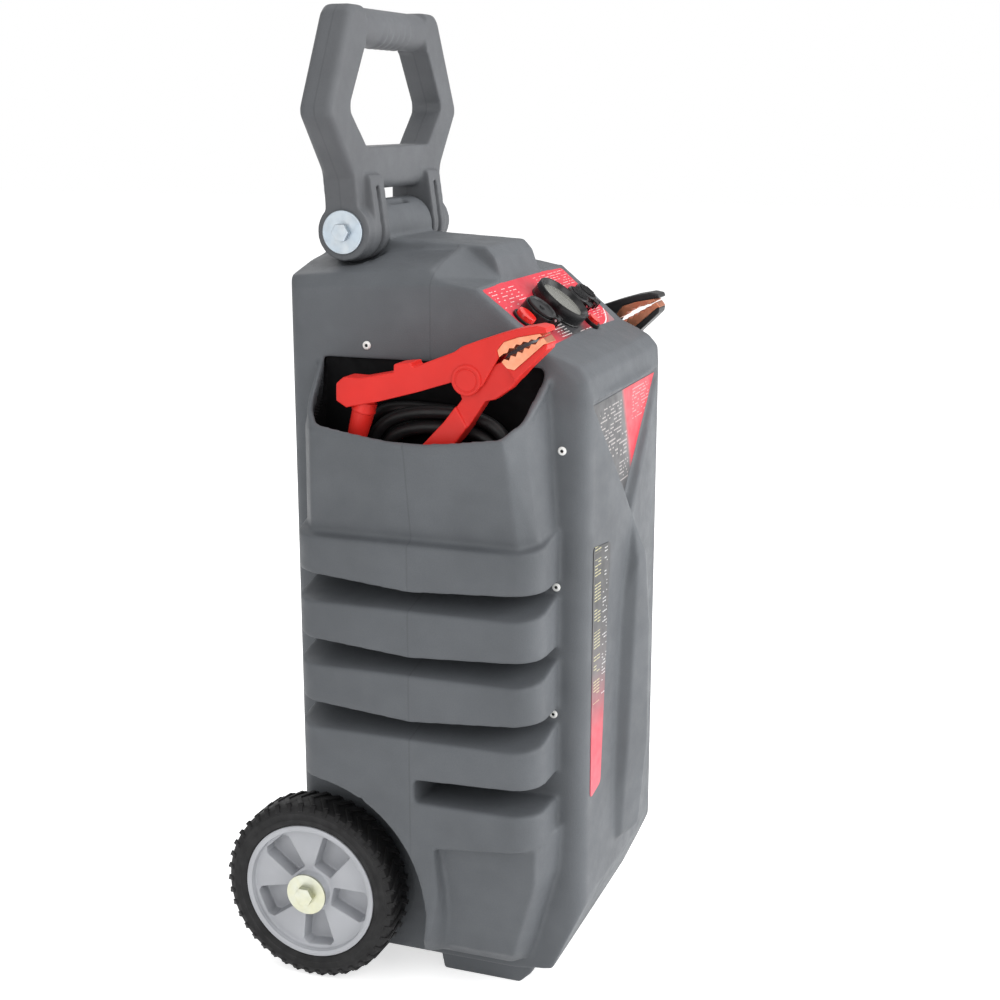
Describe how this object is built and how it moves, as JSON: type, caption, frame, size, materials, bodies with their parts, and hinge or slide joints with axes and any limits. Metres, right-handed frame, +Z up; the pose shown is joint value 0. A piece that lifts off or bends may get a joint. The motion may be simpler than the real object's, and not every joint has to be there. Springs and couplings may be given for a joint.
{
  "type": "wheeled battery booster",
  "caption": "Upright wheeled car battery booster and charger with ribbed plastic body, side pockets for clamp cables, sloping control panel, folding handle and spoked wheels.",
  "frame": {"origin": "on the ground under the middle of the machine", "axes": "+X across, -Y towards the front with the control panel, +Z up"},
  "size_m": [0.432, 0.428, 1.041],
  "materials": {
    "shell_grey": "fine moulded grain",
    "base_steel": "black paint",
    "cover_grey": "satin",
    "zinc": "bright zinc",
    "rivet_white": "satin",
    "label_film": "printed film",
    "black_plastic": "satin",
    "clear_lens": "clear",
    "dial_white": "plain",
    "needle_black": "black",
    "red_button": "glossy",
    "liner_black": "plain",
    "battery_case": "satin",
    "lead_posts": "plain",
    "copper": "bright copper",
    "rim_grey": "satin",
    "tyre_black": "plain",
    "zinc_yellow": "yellow zinc",
    "zinc_blue": "blue zinc",
    "handle_grey": "fine grain",
    "clamp_red": "satin",
    "clamp_black": "satin",
    "cable_rubber": "satin"
  },
  "bodies": {
    "machine": {"aux_socket_inner": "black_plastic", "aux_socket_outer": "black_plastic", "axle": "zinc", "axle_brackets": "base_steel", "base_plate": "base_steel", "battery_front": "battery_case", "battery_posts": "lead_posts", "battery_rear": "battery_case", "black_cable": "cable_rubber", "black_cable_coil": "cable_rubber", "black_jaw_upper": "copper", "black_lever_upper": "clamp_black", "body_shell": "shell_grey", "bus_bars": "copper", "button_rings": "black_plastic", "cable_glands": "black_plastic", "cap_hinge_pins": "zinc", "changeover_contactor": "battery_case", "charge_socket": "black_plastic", "charger_module": "battery_case", "clamp_pivots": "clamp_black", "clamp_springs": "zinc_blue", "cover_screws": "zinc", "front_label": "label_film", "hold_down_strap": "base_steel", "inner_frame": "base_steel", "main_fuse": "battery_case", "meter_case": "black_plastic", "meter_dial": "dial_white", "meter_lens": "clear_lens", "panel_label": "label_film", "pocket_liner_left": "liner_black", "pocket_liner_right": "liner_black", "rear_cover": "cover_grey", "red_cable": "cable_rubber", "red_cable_coil": "cable_rubber", "red_jaw_upper": "copper", "red_lever_upper": "clamp_red", "shell_rivets": "rivet_white", "strip_label": "label_film", "wheel_bolts": "zinc", "wheel_washers": "zinc_yellow"},
    "handle": {"handle_frame": "handle_grey", "handle_shaft": "zinc_blue", "handle_washers": "zinc_blue", "handle_bolts": "zinc"},
    "left_wheel": {"left_rim": "rim_grey", "left_tyre": "tyre_black"},
    "right_wheel": {"right_rim": "rim_grey", "right_tyre": "tyre_black"},
    "red_clamp_jaw": {"red_lever_lower": "clamp_red", "red_jaw_lower": "copper"},
    "black_clamp_jaw": {"black_lever_lower": "clamp_black", "black_jaw_lower": "copper"},
    "power_switch": {"power_button": "red_button"},
    "test_switch": {"test_button": "red_button"},
    "inner_socket_cap": {"aux_cap_inner": "black_plastic"},
    "outer_socket_cap": {"aux_cap_outer": "black_plastic"},
    "charge_cap": {"charge_socket_cap": "black_plastic"},
    "needle": {"meter_needle": "needle_black"}
  },
  "joints": [
    {"name": "handle_fold", "type": "hinge", "parent": "machine", "child": "handle", "pos_m": [0, 0.094, 0.8127], "axis": [1, 0, 0], "range_deg": [0, 70]},
    {"name": "left_wheel_spin", "type": "hinge", "parent": "machine", "child": "left_wheel", "pos_m": [-0.17, 0.111, 0.103], "axis": [1, 0, 0], "continuous": true},
    {"name": "right_wheel_spin", "type": "hinge", "parent": "machine", "child": "right_wheel", "pos_m": [0.17, 0.111, 0.103], "axis": [1, 0, 0], "continuous": true},
    {"name": "red_clamp_open", "type": "hinge", "parent": "machine", "child": "red_clamp_jaw", "pos_m": [-0.179, -0.075, 0.679], "axis": [1, 0, 0], "range_deg": [0, 18], "stiffness_Nm_per_rad": 4, "springref_deg": -17.19},
    {"name": "black_clamp_open", "type": "hinge", "parent": "machine", "child": "black_clamp_jaw", "pos_m": [0.179, -0.091, 0.675], "axis": [1, 0, 0], "range_deg": [0, 18], "stiffness_Nm_per_rad": 4, "springref_deg": -17.19},
    {"name": "power_press", "type": "slide", "parent": "machine", "child": "power_switch", "axis": [0, 0.631, -0.7758], "range_m": [0, 0.003], "stiffness_N_per_m": 800, "springref_m": -0.002},
    {"name": "test_press", "type": "slide", "parent": "machine", "child": "test_switch", "axis": [0, 0.631, -0.7758], "range_m": [0, 0.003], "stiffness_N_per_m": 800, "springref_m": -0.002},
    {"name": "inner_cap_open", "type": "hinge", "parent": "machine", "child": "inner_socket_cap", "pos_m": [0.066, -0.11924, 0.72528], "axis": [1, 0, 0], "range_deg": [0, 110], "stiffness_Nm_per_rad": 0.02, "springref_deg": -22.92},
    {"name": "outer_cap_open", "type": "hinge", "parent": "machine", "child": "outer_socket_cap", "pos_m": [0.095, -0.11924, 0.72528], "axis": [1, 0, 0], "range_deg": [0, 110], "stiffness_Nm_per_rad": 0.02, "springref_deg": -22.92},
    {"name": "charge_cap_open", "type": "hinge", "parent": "machine", "child": "charge_cap", "pos_m": [-0.076, -0.13011, 0.72676], "axis": [1, 0, 0], "range_deg": [0, 110], "stiffness_Nm_per_rad": 0.02, "springref_deg": -22.92},
    {"name": "needle_swing", "type": "hinge", "parent": "machine", "child": "needle", "pos_m": [-0.003, -0.1111, 0.72288], "axis": [0, -0.631, 0.7758], "range_deg": [-40, 40], "stiffness_Nm_per_rad": 0.0005}
  ]
}
